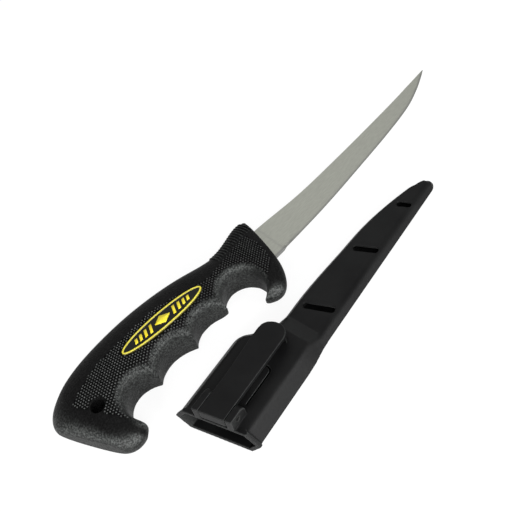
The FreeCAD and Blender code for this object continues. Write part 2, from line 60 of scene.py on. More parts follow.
grind_step = 0.20
grind_step_run = 0.6
grind_ease = 16.0
edge_ease = 2.5
# The line where the grind starts is painted darker, as painted shade along that crease.
grind_line_shade = 0.38
grind_shade_reach = 0.9
blade_step = 0.8
face_steps = 8
crisp_angle = math.radians(24.0)
steel_colour = (0.455, 0.464, 0.412, 1.0)
steel_dull_colour = (0.385, 0.391, 0.348, 1.0)
steel_edge_colour = (0.26, 0.26, 0.25, 1.0)


def new_finish(name):
    """A node material with its shader, ready for the finish's own nodes."""
    finish = bpy.data.materials.new(name)
    finish.use_nodes = True
    tree = finish.node_tree
    return finish, tree, tree.nodes["Principled BSDF"]


def noise(tree, scale, detail=2.0, stretch=(1.0, 1.0, 1.0)):
    """A noise texture in the part's own metres, stretched along an axis by its three factors."""
    place = tree.nodes.new("ShaderNodeTexCoord")
    spread = tree.nodes.new("ShaderNodeMapping")
    spread.inputs["Scale"].default_value = stretch
    grain = tree.nodes.new("ShaderNodeTexNoise")
    grain.inputs["Scale"].default_value = scale
    grain.inputs["Detail"].default_value = detail
    tree.links.new(place.outputs["Object"], spread.inputs["Vector"])
    tree.links.new(spread.outputs["Vector"], grain.inputs["Vector"])
    return grain.outputs["Fac"]


def ramp(tree, value, low, high, low_end=0.35, high_end=0.65):
    """Turns a value into a colour between two, over the part of its range that it uses."""
    band = tree.nodes.new("ShaderNodeValToRGB")
    band.color_ramp.elements[0].position = low_end
    band.color_ramp.elements[0].color = low
    band.color_ramp.elements[1].position = high_end
    band.color_ramp.elements[1].color = high
    tree.links.new(value, band.inputs["Fac"])
    return band.outputs["Color"]


def spread_value(tree, value, low, high, low_end=0.3, high_end=0.7):
    """Maps a value's used range to another range, for roughness."""
    fit = tree.nodes.new("ShaderNodeMapRange")
    fit.inputs["From Min"].default_value = low_end
    fit.inputs["From Max"].default_value = high_end
    fit.inputs["To Min"].default_value = low
    fit.inputs["To Max"].default_value = high
    tree.links.new(value, fit.inputs["Value"])
    return fit.outputs["Result"]


def bump(tree, shader, height, depth):
    """Presses a height pattern into the surface, its depth in metres."""
    press = tree.nodes.new("ShaderNodeBump")
    press.inputs["Strength"].default_value = 1.0
    press.inputs["Distance"].default_value = depth
    tree.links.new(height, press.inputs["Height"])
    tree.links.new(press.outputs["Normal"], shader.inputs["Normal"])


def point_value(tree, attribute):
    """A value that each point of the piece keeps."""
    kept = tree.nodes.new("ShaderNodeAttribute")
    kept.attribute_name = attribute
    return kept.outputs["Fac"]


def blend(tree, attribute, low):
    """A mix from one colour to a second as an attribute of the piece's points goes from 0 to 1."""
    mix = tree.nodes.new("ShaderNodeMix")
    mix.data_type = "RGBA"
    tree.links.new(point_value(tree, attribute), mix.inputs["Factor"])
    tree.links.new(low, mix.inputs["A"])
    return mix


def dress(piece, finish):
    """Gives a piece its one finish."""
    piece.data.materials.clear()
    piece.data.materials.append(finish)


def new_piece(name, shape):
    """An object in the scene from a bmesh, which is used up."""
    mesh = bpy.data.meshes.new(name)
    shape.to_mesh(mesh)
    shape.free()
    for face in mesh.polygons:
        face.use_smooth = True
    piece = bpy.data.objects.new(name, mesh)
    bpy.context.scene.collection.objects.link(piece)
    return piece


def eased(stations, along):
    """The values of a row of stations at a place between them, on a smooth curve through them all."""
    last = len(stations) - 1
    here = max(n for n in range(last) if n == 0 or stations[n][0] <= along)
    before, start, end, after = [stations[min(max(here + n, 0), last)] for n in (-1, 0, 1, 2)]
    run = end[0] - start[0]
    t = (along - start[0]) / run
    values = []
    for column in range(1, len(start)):
        leave = (end[column] - before[column]) / (end[0] - before[0]) * run
        arrive = (after[column] - start[column]) / (after[0] - start[0]) * run
        rise = end[column] - start[column]
        bend = 3 * rise - 2 * leave - arrive
        curl = leave + arrive - 2 * rise
        values.append(start[column] + t * (leave + t * (bend + t * curl)))
    return values


def ramp_up(value, start, end):
    """Goes smoothly from 0 at start to 1 at end."""
    share = min(max((value - start) / (end - start), 0.0), 1.0)
    return share * share * (3.0 - 2.0 * share)


def grind_line(share):
    """Where the ground face starts, at a share of the blade's width down from its back."""
    return grind_at_back + (grind_at_edge - grind_at_back) * share


def blade_side(along):
    """Points down one face of the blade at a place along it, each a height and a half thickness."""
    drop, width = eased(blade_stations, along)
    back = -drop
    edge = back - width
    bevel = min(bevel_width, width / 2)
    half = (blade_thick - (blade_thick - tip_thick) * max(along, 0.0) / blade_stations[-1][0]) / 2
    corner = min(spine_round, half / 2)
    face = [(back, half - corner), (back - min(corner, width / 4), half)]
    for step in range(1, face_steps + 1):
        share = step / face_steps
        height = back - corner + (edge + bevel - back + corner) * share
        line = grind_line((back - height) / width)
        ground = grind_step * ramp_up(along, line, line + grind_step_run)
        ground += (1.0 - grind_step) * ramp_up(along, line, line + grind_ease)
        wedge = half + (bevel_thick / 2 - half) * share
        face.append((height, half + (wedge - half) * ground))
    sharp = ramp_up(along, grind_at_edge, grind_at_edge + edge_ease)
    face.append((edge, edge_half + (half - heel_flat) * (1.0 - sharp)))
    return face


def bridge(shape, rings):
    """Faces from each ring of points to the next, all the way round."""
    for before, after in zip(rings, rings[1:]):
        for corner in range(len(before)):
            beside = (corner + 1) % len(before)
            shape.faces.new((before[corner], before[beside], after[beside], after[corner]))


def close_ends(shape, rings):
    """A face over the first and the last of a row of rings."""
    shape.faces.new(rings[0])
    shape.faces.new(reversed(rings[-1]))


def face_out(shape):
    """Turns all faces of closed skins outwards."""
    bmesh.ops.recalc_face_normals(shape, faces=shape.faces)


blade_shape = bmesh.new()
honed_and_grind_shade = blade_shape.verts.layers.float.new("honed_and_grind_shade")
first, last = blade_stations[0][0], blade_stations[-1][0]
places = [first + blade_step * step for step in range(int((last - first) / blade_step) + 1)] + [last]
rings = []
for along in places:
    face = blade_side(along)
    loop = face + [(height, -half) for height, half in reversed(face)]
    ring = []
    for number, (height, half) in enumerate(loop):
        # Points on the grind line are painted darker as painted shade along the crease; the edge's own
        # points are the honed edge's darker steel.
        from_back = min(number, len(loop) - 1 - number)
        off_line = abs(along - grind_line(from_back / (len(face) - 1)))
        line_shade = grind_line_shade * ramp_up(-off_line, -grind_shade_reach, 0.0)
        vertex = blade_shape.verts.new(knife_origin + Vector((along, height, half)) * mm)
        vertex[honed_and_grind_shade] = 1.0 if from_back == len(face) - 1 else line_shade
        ring.append(vertex)
    rings.append(ring)
bridge(blade_shape, rings)
close_ends(blade_shape, rings)
face_out(blade_shape)
blade = new_piece("ground_blade", blade_shape)
blade.modifiers.new("crisp", "EDGE_SPLIT").split_angle = crisp_angle

satin_steel, tree, shader = new_finish("satin_steel")
polish_lines = noise(tree, scale=2600.0, detail=3.0, stretch=(0.10, 1.0, 1.0))
honed_edge_and_grind_shade = blend(tree, "honed_and_grind_shade", ramp(tree, polish_lines, steel_dull_colour, steel_colour))
honed_edge_and_grind_shade.inputs["B"].default_value = steel_edge_colour
tree.links.new(honed_edge_and_grind_shade.outputs["Result"], shader.inputs["Base Color"])
tree.links.new(spread_value(tree, polish_lines, low=0.44, high=0.54), shader.inputs["Roughness"])
bump(tree, shader, polish_lines, depth=0.006 * mm)
shader.inputs["Metallic"].default_value = 1.0
dress(blade, satin_steel)
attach(blade, "knife")
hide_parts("blade")


# The core is a hard black moulding round the tang, with the grip moulded over it. Nothing of it
# shows once the grip is on.
core_black = (0.013, 0.013, 0.014, 1.0)
core_black_worn = (0.020, 0.020, 0.021, 1.0)
hard_black, tree, shader = new_finish("hard_black_moulding")
flow = noise(tree, scale=300.0, detail=4.0)
tree.links.new(ramp(tree, flow, core_black, core_black_worn), shader.inputs["Base Color"])
tree.links.new(spread_value(tree, flow, low=0.45, high=0.6), shader.inputs["Roughness"])
bump(tree, shader, flow, depth=0.02 * mm)
dress(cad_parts["handle_core"], hard_black)


# The grip is black rubber-like plastic moulded over the core, with a coarse sandblasted skin. Its
# finger grooves, the guard's hook and the butt are painted lighter grey as painted sheen. The mould
# rounds its edges.
grip_voxel = 0.5 * mm
grip_softening = 6
weld_distance = 0.0005 * mm
groove_rounding = 160
under_rolled = 0.12
# Each pair says where a roll or the painted sheen sets in and where it is full, as a place or a facing.
roll_over_level = (0.5, 3.5)
roll_under_level = (6.0, 8.0)
groove_roll_reach = (-6.0, -3.5)
butt_roll_place = (123.0, 128.0)
butt_roll_level = (2.0, 5.0)
hook_corner = (-108.5, -36.0)
hook_reach = 5.0
groove_flare = 2.6
groove_flare_reach = 7.0
butt_fall = 3.0
butt_fall_start = -117.0
butt_fall_run = 19.0
flank_height = 10.0
plain_gloss = 0.09
sheen_gloss = 0.20
wall_sheen = 0.42
side_sheen = 0.45
groove_sheen_reach = (-5.0, -2.0)
side_sheen_facing = (0.15, 0.6)
butt_sheen_lean = 0.35
butt_sheen_facing = (0.10, 0.60)
butt_sheen_place = (118.0, 128.0)
hook_sheen_facing = (0.2, 0.8)
hook_sheen_place = (27.0, 31.0)
edge_sheen_slope = (0.15, 0.55)
flat_sheen_slope = (-0.97, -0.75)
hole_shade_gloss = 0.02
hole_rim = 0.2
groove_places = {(-33.7, -23.9): 10.8, (-56.0, -28.9): 12.2, (-78.1, -31.4): 14.8, (-99.8, -27.8): 10.8}
lanyard_place = (-117.5, -16.0)
lanyard_radius = 3.2
grip_black = (0.0022, 0.0022, 0.0022, 1.0)
grip_speck = (0.0075, 0.0075, 0.0075, 1.0)
# The lighter grey below is painted sheen, standing in for the lamps' light on the grooves, hook and
# butt.
grip_sheen_grey = (0.0150, 0.0158, 0.0154, 1.0)
grip_sheen_speck = (0.0900, 0.0955, 0.0920, 1.0)


def welded(*nodes):
    """One mesh from CAD nodes, with the doubled points along their edges joined."""
    shape = bmesh.new()
    for node in nodes:
        shape.from_mesh(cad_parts[node].data)
    bmesh.ops.remove_doubles(shape, verts=shape.verts, dist=weld_distance)
    return shape


def settle(piece):
    """Makes what the modifiers give the piece's own mesh."""
    made = piece.evaluated_get(bpy.context.evaluated_depsgraph_get())
    mesh = bpy.data.meshes.new_from_object(made)
    piece.modifiers.clear()
    piece.data = mesh
    for face in mesh.polygons:
        face.use_smooth = True


def smooth_steps(piece, steps, zone=""):
    """Relaxes a piece's skin by some steps, everywhere or in one zone of it."""
    soften = piece.modifiers.new("soften", "SMOOTH")
    soften.factor = 0.5
    soften.iterations = steps
    soften.vertex_group = zone


def soft_copy(name, nodes, voxel, steps, home=Matrix()):
    """CAD nodes remade as one soft-edged piece, in the frame that its sides lie square to."""
    shape = welded(*nodes)
    shape.transform(home.inverted())
    piece = new_piece(name, shape)
    remesh = piece.modifiers.new("remesh", "REMESH")
    remesh.mode = "VOXEL"
    remesh.voxel_size = voxel
    smooth_steps(piece, steps)
    settle(piece)
    return piece


def round_over(piece, share, steps):
    """Rounds a piece over where a share from 0 to 1, given for each of its points, says."""
    zone = piece.vertex_groups.new(name="rounded")
    for vertex in piece.data.vertices:
        weight = share(vertex)
        if weight > 0.0:
            zone.add([vertex.index], weight, "REPLACE")
    smooth_steps(piece, steps, zone.name)
    settle(piece)
    piece.vertex_groups.clear()


def on_knife(point):
    """A point in the knife's own millimetres."""
    return (point - knife_origin) / mm


def flared(at):
    """Where the mould takes a point of the upper flank: out from the grooves and down to the butt."""
    height = max(at.z, 0.0) / flank_height
    past_fall = max(butt_fall_start - at.x, 0.0) / butt_fall_run
    shift = Vector((0.0, 0.0, -butt_fall * height * past_fall ** 2))
    for (x, y), radius in groove_places.items():
        out = Vector((at.x - x, at.y - y, 0.0))
        near = ramp_up(radius - out.length, -groove_flare_reach, 0.0)
        shift += out.normalized() * groove_flare * near * height ** 2
    return at + shift


def rolled(vertex):
    """How far a point of the grip is in a rolled edge, of a finger groove or the butt."""
    at = on_knife(vertex.co)
    height = max(ramp_up(at.z, *roll_over_level), under_rolled * ramp_up(-at.z, *roll_under_level))
    butt = ramp_up(-at.x, *butt_roll_place) * ramp_up(at.z, *butt_roll_level)
    share = max(butt, ramp_up(-math.dist((at.x, at.y), hook_corner), -hook_reach, -0.5 * hook_reach))
    for place, radius in groove_places.items():
        away = abs(math.dist((at.x, at.y), place) - radius - groove_flare / 2)
        share = max(share, ramp_up(-away, *groove_roll_reach) * height)
    return share


def painted_sheen_at(vertex):
    """How much painted sheen lightens a point of the grip to grey, most on the rolled edges and on
    walls that face the lamps.
    """
    at = on_knife(vertex.co)
    normal = vertex.normal
    share = 0.0
    for place, radius in groove_places.items():
        past_wall = math.dist((at.x, at.y), place) - radius
        share = max(share, ramp_up(-past_wall, *groove_sheen_reach))
    share *= side_sheen + (1.0 - side_sheen) * ramp_up(-normal.y, *side_sheen_facing)
    butt = ramp_up(-normal.x - butt_sheen_lean * normal.y, *butt_sheen_facing)
    butt *= ramp_up(-at.x, *butt_sheen_place)
    hook = ramp_up(-normal.y - normal.x, *hook_sheen_facing) * ramp_up(-at.y, *hook_sheen_place)
    slope = abs(normal.z)
    edge = wall_sheen + (1.0 - wall_sheen) * ramp_up(slope, *edge_sheen_slope)
    return max(share, butt, hook) * edge * ramp_up(-slope, *flat_sheen_slope)


grip = soft_copy("moulded_grip", ("grip", "handle_core"), grip_voxel, grip_softening)
for vertex in grip.data.vertices:
    vertex.co = knife_origin + flared(on_knife(vertex.co)) * mm
round_over(grip, rolled, groove_rounding)
painted_sheen = grip.data.attributes.new("painted_sheen", "FLOAT", "POINT")
gloss = grip.data.attributes.new("gloss", "FLOAT", "POINT")
for vertex in grip.data.vertices:
    share = painted_sheen_at(vertex)
    painted_sheen.data[vertex.index].value = share
    gloss.data[vertex.index].value = plain_gloss + (sheen_gloss - plain_gloss) * share
    # Inside the lanyard hole the specular level is low, as painted shade in the hole.
    if math.dist(on_knife(vertex.co).to_2d(), lanyard_place) < lanyard_radius + hole_rim:
        gloss.data[vertex.index].value = hole_shade_gloss

blasted_rubber, tree, shader = new_finish("blasted_rubber")
speckle = noise(tree, scale=1300.0, detail=3.0)
dark_skin = ramp(tree, speckle, grip_black, grip_speck, low_end=0.42, high_end=0.72)
sheen_skin = ramp(tree, speckle, grip_sheen_grey, grip_sheen_speck, low_end=0.40, high_end=0.70)
blend_skins = blend(tree, "painted_sheen", dark_skin)
tree.links.new(sheen_skin, blend_skins.inputs["B"])
tree.links.new(blend_skins.outputs["Result"], shader.inputs["Base Color"])
sheen_share = point_value(tree, "painted_sheen")
polished = spread_value(tree, sheen_share, low=0.56, high=0.44, low_end=0.0, high_end=1.0)
tree.links.new(polished, shader.inputs["Roughness"])
bump(tree, shader, speckle, depth=0.28 * mm)
tree.links.new(point_value(tree, "gloss"), shader.inputs["Specular IOR Level"])
dress(grip, blasted_rubber)
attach(grip, "knife")
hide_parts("grip")


# Round studs stand over both flanks in close rows, moulded in one with the grip.
# Their field keeps clear of the back, the finger grooves, the badge and the lanyard hole.
stud_pitch = 1.42
stud_row_turn = math.radians(95.0)
hexagon_turn = math.radians(60.0)
stud_radius = 0.50 * mm
stud_height = 0.38 * mm
stud_sides = 6
stud_rows = 70
stud_clear = 0.8
stud_groove_clear = 1.5
stud_least_facing = 0.4
stud_field = [
    (-123.6, -5.4), (-110.5, -0.9), (-103.0, 0.5), (-73.6, 1.1), (-66.9, 0.7), (-40.0, -7.9),
    (-31.0, -6.5), (-13.0, -3.3), (-9.0, -3.9), (-9.4, -12.7), (-12.2, -21.7), (-14.8, -25.5),
    (-20.3, -28.7), (-112.6, -31.3), (-118.0, -21.4), (-124.1, -8.1),
]
field_middle = Vector((-66.0, -15.0))
# Stud feet are painted near black as shade between the studs; their tips are lighter grey, partly wear
# and partly painted highlight.
stud_foot_shade = (0.0015, 0.0015, 0.0015, 1.0)
stud_tip_lit_grey = (0.052, 0.054, 0.053, 1.0)
stud_tip_lit_worn = (0.104, 0.107, 0.105, 1.0)
stud_rings = ((1.0, -0.3, 1.0), (0.8, 0.5, 0.65), (0.45, 0.9, 0.1))
neck_shade = 0.62
neck_place = (-78.0, -50.0)
ray_start = 40.0
gap_shade_gloss = 0.02
badge_middle = Vector((-69.8, -7.1))
badge_turn = math.radians(-3.2)
badge_half_length = 24.1
badge_half_width = 4.9
grip_tree = BVHTree.FromPolygons(
    [vertex.co for vertex in grip.data.vertices], [face.vertices for face in grip.data.polygons]
)


def flank_point(x, y, side):
    """The grip's skin and its normal over a place of the knife, on its upper or its lower flank."""
    above = knife_origin + Vector((x, y, ray_start * side)) * mm
    place, normal, _, _ = grip_tree.ray_cast(above, Vector((0.0, 0.0, -side)))
    return place, normal


def in_outline(x, y, outline):
    """Whether a place is inside a closed outline of points."""
    inside = False
    for (ax, ay), (bx, by) in zip(outline, outline[1:] + outline[:1]):
        if (ay > y) != (by > y) and x < ax + (y - ay) / (by - ay) * (bx - ax):
            inside = not inside
    return inside


def stud_allowed(x, y):
    """Whether a stud stands at a place of the flank."""
    if not in_outline(x, y, stud_field):
        return False
    along = Matrix.Rotation(-badge_turn, 2) @ (Vector((x, y)) - badge_middle)
    clear_length = badge_half_length + stud_clear
    clear_width = badge_half_width + stud_clear
    if math.hypot(along.x / clear_length, along.y / clear_width) < 1.0:
        return False
    if math.dist((x, y), lanyard_place) < lanyard_radius + stud_clear:
        return False
    for place, radius in groove_places.items():
        if math.dist((x, y), place) <= radius + stud_groove_clear:
            return False
    return True


def close_over(shape, ring, top):
    """Faces from a ring of points up to one point over it."""
    for step in range(len(ring)):
        shape.faces.new((ring[step], ring[(step + 1) % len(ring)], top))


def add_stud(shape, place, normal):
    """One low dome with its foot sunk a little into the skin, its foot painted near black as shade
    between the studs and its tip lighter grey, partly wear and partly painted highlight, all painted
    darker towards the neck.
    """
    dark = neck_shade * ramp_up(on_knife(place).x, *neck_place)
    across = normal.orthogonal().normalized()
    beside = normal.cross(across)
    foot = shape.verts.layers.float["foot"]
    rings = []
    for reach, rise, foot_shade_share in stud_rings:
        ring = []
        for step in range(stud_sides):
            turn = math.tau * step / stud_sides
            out = across * math.cos(turn) + beside * math.sin(turn)
            vertex = shape.verts.new(place + out * stud_radius * reach + normal * stud_height * rise)
            vertex[foot] = max(foot_shade_share, dark)
            ring.append(vertex)
        rings.append(ring)
    top = shape.verts.new(place + normal * stud_height)
    top[foot] = dark
    shape.faces.new(rings[0])
    bridge(shape, rings)
    close_over(shape, rings[-1], top)


studs_shape = bmesh.new()
studs_shape.verts.layers.float.new("foot")
row_step = Vector((math.cos(stud_row_turn), math.sin(stud_row_turn))) * stud_pitch
next_row = Matrix.Rotation(hexagon_turn, 2) @ row_step
for row in range(-stud_rows, stud_rows + 1):
    for step in range(-stud_rows, stud_rows + 1):
        at = field_middle + next_row * row + row_step * step
        if not stud_allowed(at.x, at.y):
            continue
        for side in (1.0, -1.0):
            place, normal = flank_point(at.x, at.y, side)
            if place is not None and abs(normal.z) > stud_least_facing:
                add_stud(studs_shape, place, normal)
face_out(studs_shape)
studs = new_piece("grip_studs", studs_shape)

# The grip's skin between the studs gets a low specular level, as painted shade between them.
for vertex in grip.data.vertices:
    at = on_knife(vertex.co)
    if abs(vertex.normal.z) > stud_least_facing and stud_allowed(at.x, at.y):
        gloss.data[vertex.index].value = gap_shade_gloss

stud_rubber, tree, shader = new_finish("stud_rubber")
rub = noise(tree, scale=500.0)
tip_to_foot = blend(tree, "foot", ramp(tree, rub, stud_tip_lit_grey, stud_tip_lit_worn))
tip_to_foot.inputs["B"].default_value = stud_foot_shade
tree.links.new(tip_to_foot.outputs["Result"], shader.inputs["Base Color"])
tree.links.new(spread_value(tree, rub, low=0.36, high=0.48), shader.inputs["Roughness"])
shader.inputs["Specular IOR Level"].default_value = 0.10
dress(studs, stud_rubber)
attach(studs, "knife")


# Ribs for the thumb run across the back behind the guard, moulded in one with the grip.
# Each follows the rounded back from one flank over to the other and fades out at its ends.
rib_count = 16
rib_first = -3.5
rib_pitch = 1.68
rib_end_front = -3.6
rib_end_rear = -6.0
rib_steps = 28
rib_profile = (
    (-0.62, -0.4), (-0.44, 0.2), (-0.22, 0.54), (0.0, 0.62), (0.22, 0.54), (0.44, 0.2), (0.62, -0.4),
)
rib_crest = 0.5
rib_ray_start = 60.0
rib_fade = 0.12
rib_sunk = 0.7
rib_root = 1.0
rib_crest_sheen = 0.35


def back_line(x, end_y):
    """Points over the back at one place along the knife, from one flank to the other."""
    centre = knife_origin + Vector((x, end_y, 0.0)) * mm
    line = []
    for step in range(rib_steps + 1):
        turn = math.radians(-90.0 + 180.0 * step / rib_steps)
        out = Vector((0.0, math.cos(turn), math.sin(turn)))
        place, normal, _, _ = grip_tree.ray_cast(centre + out * rib_ray_start * mm, -out)
        line.append((place, normal))
    return line


ribs_shape = bmesh.new()
sheen_layer = ribs_shape.verts.layers.float.new("painted_sheen")
gloss_layer = ribs_shape.verts.layers.float.new("gloss")
for number in range(rib_count):
    end_y = rib_end_front + (rib_end_rear - rib_end_front) * number / (rib_count - 1)
    rows = []
    for step, (place, normal) in enumerate(back_line(rib_first - rib_pitch * number, end_y)):
        fade = ramp_up(min(step, rib_steps - step) / rib_steps, 0.0, rib_fade)
        along = Vector((1.0, 0.0, 0.0))
        along = (along - normal * along.dot(normal)).normalized()
        row = []
        for across, up in rib_profile:
            rise = (up + rib_sunk) * fade - rib_sunk
            vertex = ribs_shape.verts.new(place + (along * across + normal * rise) * mm)
            # Rib crests are painted lighter as painted highlight; the gaps between ribs get a low
            # specular level as painted shade.
            vertex[sheen_layer] = rib_crest_sheen if up > rib_crest else 0.0
            vertex[gloss_layer] = plain_gloss if up > rib_crest else gap_shade_gloss
            row.append(vertex)
        for across, _ in (rib_profile[-1], rib_profile[0]):
            row.append(ribs_shape.verts.new(place + (along * across - normal * rib_root) * mm))
        rows.append(row)
    bridge(ribs_shape, rows)
    close_ends(ribs_shape, rows)
face_out(ribs_shape)
ribs = new_piece("thumb_ribs", ribs_shape)
dress(ribs, blasted_rubber)
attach(ribs, "knife")


# The badge is a thin black plate let into the upper flank, with a raised yellow line round it and a
# lozenge between slanted bars on it. All are hard plastic, painted before they are set into the grip.
line_steps = 160
line_inset = 0.55
line_profile = (
    (-0.66, -0.6), (-0.54, 0.0), (-0.32, 0.26), (0.0, 0.34), (0.32, 0.26), (0.54, 0.0), (0.66, -0.6),
)
level_reach = 0.3
line_proud = 0.3
line_core = 0.15
line_edge = 0.52
mark_proud = 0.22
mark_sunk = 0.4
mark_edge = 0.10
mark_spacing = 1.0
lozenge_half = (4.6, 2.6)
bar_half_width = 0.75
bar_lean = 0.9
bars = ((7.0, 2.2), (10.1, 1.9), (13.0, 1.55), (15.7, 1.2))
paint_pale = (0.82, 0.745, 0.075, 1.0)
paint_full = (0.76, 0.64, 0.035, 1.0)
paint_deep = (0.70, 0.55, 0.006, 1.0)
paint_olive = (0.075, 0.060, 0.004, 1.0)
badge_dark = (0.0040, 0.0040, 0.0032, 1.0)
badge_dark_worn = (0.0080, 0.0080, 0.0065, 1.0)


def node_tree(*nodes):
    """A search tree for rays over the faces of CAD nodes."""
    shape = welded(*nodes)
    tree = BVHTree.FromBMesh(shape)
    shape.free()
    return tree


def badge_plan(along, across):
    """A place of the knife's plan from its distance along and across the badge."""
    return Matrix.Rotation(badge_turn, 2) @ Vector((along, across)) + badge_middle


def level_over(tree, along, across):
    """How high the top of a part of the badge stands at a place of it, in the knife's millimetres."""
    at = badge_plan(along, across)
    above = knife_origin + Vector((at.x, at.y, ray_start)) * mm
    place, _, _, _ = tree.ray_cast(above, Vector((0.0, 0.0, -1.0)))
    return on_knife(place).z


def badge_vertex(shape, along, across, level):
    """A new point over a place of the badge."""
    at = badge_plan(along, across)
    return shape.verts.new(knife_origin + Vector((at.x, at.y, level)) * mm)


rim_tree = node_tree("badge_rim")
line_shape = bmesh.new()
edge_layer = line_shape.verts.layers.float.new("edge")
rings = []
for step in range(line_steps):
    turn = math.tau * step / line_steps
    half_length, half_width = badge_half_length - line_inset, badge_half_width - line_inset
    middle = Vector((half_length * math.cos(turn), half_width * math.sin(turn)))
    out = Vector((math.cos(turn) / half_length, math.sin(turn) / half_width)).normalized()
    inner = level_over(rim_tree, *(middle - out * level_reach))
    outer = level_over(rim_tree, *(middle + out * level_reach))
    ring = []
    for across, up in line_profile:
        level = (inner + outer) / 2 + (outer - inner) / (2 * level_reach) * across + up - line_proud
        vertex = badge_vertex(line_shape, *(middle + out * across), level)
        # The line's sides are painted dark olive: an olive outline round the yellow, and partly painted
        # shade on the rounded bead's sides.
        vertex[edge_layer] = ramp_up(abs(across), line_core, line_edge)
        ring.append(vertex)
    rings.append(ring)
bridge(line_shape, rings + rings[:1])
face_out(line_shape)
badge_line = new_piece("badge_line", line_shape)
badge_paint, tree, shader = new_finish("badge_yellow_paint")
patch = noise(tree, scale=420.0, detail=3.0)
core_to_edge = blend(tree, "edge", ramp(tree, patch, paint_full, paint_pale, low_end=0.3))
core_to_edge.inputs["B"].default_value = paint_olive
tree.links.new(core_to_edge.outputs["Result"], shader.inputs["Base Color"])
tree.links.new(spread_value(tree, patch, low=0.35, high=0.5), shader.inputs["Roughness"])
dress(badge_line, badge_paint)
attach(badge_line, "knife")
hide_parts("badge_rim")


def add_mark(shape, tree, corners):
    """A flat raised mark on the badge's plate with a small bevel, from the corners of its outline."""
    outline = []
    for here, there in zip(corners, corners[1:] + corners[:1]):
        steps = max(int((there - here).length / mark_spacing), 1)
        outline += [here.lerp(there, step / steps) for step in range(steps)]
    middle = sum(corners, Vector((0.0, 0.0))) / len(corners)
    rings = []
    for inset, up in ((0.0, -mark_sunk), (0.0, mark_proud - mark_edge), (mark_edge, mark_proud)):
        ring = []
        for at in outline:
            spot = at + (middle - at).normalized() * inset
            ring.append(badge_vertex(shape, spot.x, spot.y, level_over(tree, spot.x, spot.y) + up))
        rings.append(ring)
    top = badge_vertex(shape, middle.x, middle.y, level_over(tree, middle.x, middle.y) + mark_proud)
    shape.faces.new(rings[0])
    bridge(shape, rings)
    close_over(shape, rings[-1], top)


plate_tree = node_tree("badge_plate")
marks_shape = bmesh.new()
length, width = lozenge_half
lozenge = [(length, 0.0), (0.0, width), (-length, 0.0), (0.0, -width)]
add_mark(marks_shape, plate_tree, [Vector(corner) for corner in lozenge])
for along, half_height in bars:
    for side in (1.0, -1.0):
        foot, head = along - bar_lean * half_height / 2, along + bar_lean * half_height / 2
        corners = [(foot - bar_half_width, -half_height), (foot + bar_half_width, -half_height)]
        corners += [(head + bar_half_width, half_height), (head - bar_half_width, half_height)]
        add_mark(marks_shape, plate_tree, [Vector((x, y)) * side for x, y in corners])
face_out(marks_shape)
marks = new_piece("badge_marks", marks_shape)
mark_paint, tree, shader = new_finish("mark_yellow_paint")
patch = noise(tree, scale=420.0, detail=3.0)
tree.links.new(ramp(tree, patch, paint_deep, paint_full, low_end=0.3), shader.inputs["Base Color"])
tree.links.new(spread_value(tree, patch, low=0.35, high=0.5), shader.inputs["Roughness"])
dress(marks, mark_paint)
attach(marks, "knife")

badge_ground, tree, shader = new_finish("badge_black_ground")
patch = noise(tree, scale=700.0, detail=3.0)
tree.links.new(ramp(tree, patch, badge_dark, badge_dark_worn), shader.inputs["Base Color"])
tree.links.new(spread_value(tree, patch, low=0.4, high=0.55), shader.inputs["Roughness"])
bump(tree, shader, patch, depth=0.03 * mm)
shader.inputs["Specular IOR Level"].default_value = 0.2
dress(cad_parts["badge_plate"], badge_ground)


# The sheath is one hollow moulding of black polypropylene with a fine matt grain, its mouth belled
# by a bead and its upper and lower faces rolled over into the slanted sides. Two cheeks hold the clip.
sheath_place = Vector((-95.0, -47.0, 7.4)) * mm
sheath_turn = math.radians(7.0)
sheath_home = Matrix.Translation(sheath_place) @ Matrix.Rotation(sheath_turn, 4, "Z")
sheath_voxel = 0.32 * mm
sheath_softening = 4
shoulder_reach = 5.0 * mm
shoulder_reach_thin = 2.2 * mm
thin_start = 55.0 * mm
shoulder_rounding = 300
broad_facing = 0.91
slanted_facing = (0.5, 0.68)
shoulder_facing = 0.45
thin_level = 4.2 * mm
thick_level = 6.5 * mm
face_level = 7.6 * mm
mouth_lean = math.tan(math.radians(8.3))
bead_end = 2.4 * mm
# Each range says where a change of form sets in and is full, and, if it ends, where it fades and ends.
ramp_skew = 1.6
skew_across = (4.0, 26.0, 28.0, 36.0)
skew_along = (38.0, 48.0, 57.0, 70.0)
neck_fuller = 1.2
neck_across = (14.0, 20.0)
neck_along = (40.0, 47.0, 52.0, 59.0)
fuller_side = 0.40
fuller_along = (114.0, 132.0)
leaner_side = 0.9
leaner_along = (66.0, 98.0, 102.0, 122.0)
left_side = (4.0, 10.0)
tip_longer = 1.3
tip_longer_along = (110.0, 145.0)
tip_arch = 0.3
tip_arch_along = (152.0, 163.0)
tip_corner = 2.0
tip_corner_most = 2.0
tip_middle = 4.5
tip_half = 3.2
slot_turn = math.radians(16.0)
slot_wider = 0.28
slot_half_width = 1.6
slot_fade = 2.5
slot_end_fade = (-3.5, -1.5)
slots = ((68.9, 13.3, 12.4), (108.8, 11.6, 10.0), (141.5, 8.1, 4.0))
ramp_light_share = 0.26
ramp_along = (44.0, 48.0, 60.0, 66.0)
ramp_lean = (0.15, 0.30)
ramp_facing = (0.6, 0.85)
sheath_black = (0.0035, 0.0035, 0.0037, 1.0)
sheath_black_worn = (0.0065, 0.0067, 0.0067, 1.0)
sheath_wear_light_grey = (0.0285, 0.0295, 0.0290, 1.0)
mouth_light_depth = 10.0 * mm
mouth_light_inside = (-0.1, 0.1)
mouth_light_facing = (0.3, 0.7)
edge_wear_light_low = 0.03
edge_wear_light_high = 0.12


def near_points(points):
    """A search tree over points."""
    tree = KDTree(len(points))
    for number, point in enumerate(points):
        tree.insert(point, number)
    tree.balance()
    return tree


